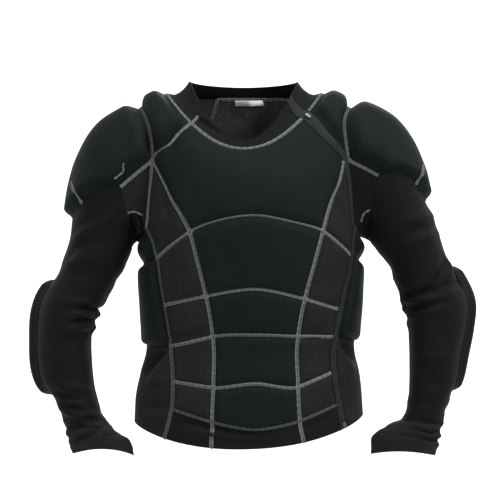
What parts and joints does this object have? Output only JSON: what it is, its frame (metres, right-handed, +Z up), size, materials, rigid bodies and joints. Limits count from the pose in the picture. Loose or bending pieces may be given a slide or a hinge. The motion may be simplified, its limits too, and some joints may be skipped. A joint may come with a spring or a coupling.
{
  "type": "padded compression shirt",
  "caption": "Long-sleeved close-fitting shirt with sewn-in foam pads on shoulders, elbows, chest and ribs, low open collar, side zip placket and thumb cuffs, in its worn hollow form.",
  "frame": {"origin": "on the wearer's shoulder line, level with the sides of the neck seam and midway between the side seams", "axes": "+Z up, the front of the shirt faces -Y, the wearer's left is +X"},
  "size_m": [0.7913, 0.2519, 0.6593],
  "materials": {
    "knit": "smooth matt stretch knit over foam",
    "mesh": "fine matt stretch mesh",
    "label": "woven satin tape, blank",
    "metal": "satin nickel",
    "thread": "grey polyester sewing thread"
  },
  "bodies": {
    "root": {"back_panel": "knit", "belly_panel_base": "knit", "belly_panel_lower": "knit", "belly_panel_middle": "knit", "belly_panel_upper": "knit", "cap_pad_left": "knit", "cap_pad_right": "knit", "cap_tail_left": "knit", "cap_tail_right": "knit", "chest_panel": "knit", "collar": "mesh", "cuff_left": "mesh", "cuff_right": "mesh", "elbow_pad_left": "knit", "elbow_pad_right": "knit", "flank_base_left": "mesh", "flank_base_right": "mesh", "flank_lower_left": "mesh", "flank_lower_right": "mesh", "flank_middle_left": "mesh", "flank_middle_right": "mesh", "flank_upper_left": "mesh", "flank_upper_right": "mesh", "hem_band_centre": "mesh", "hem_band_left": "mesh", "hem_band_right": "mesh", "neck_label": "label", "rib_pad_lower_left": "knit", "rib_pad_lower_right": "knit", "rib_pad_upper_left": "knit", "rib_pad_upper_right": "knit", "shoulder_pad_left": "knit", "shoulder_pad_right": "knit", "side_chest_left": "mesh", "side_chest_right": "mesh", "side_hem_left": "mesh", "side_hem_right": "mesh", "sleeve_back_left": "knit", "sleeve_back_right": "knit", "sleeve_front_left": "knit", "sleeve_front_right": "knit", "underarm_gusset_left": "mesh", "underarm_gusset_right": "mesh", "zip_placket": "mesh", "zip_slider": "metal"}
  },
  "joints": []
}
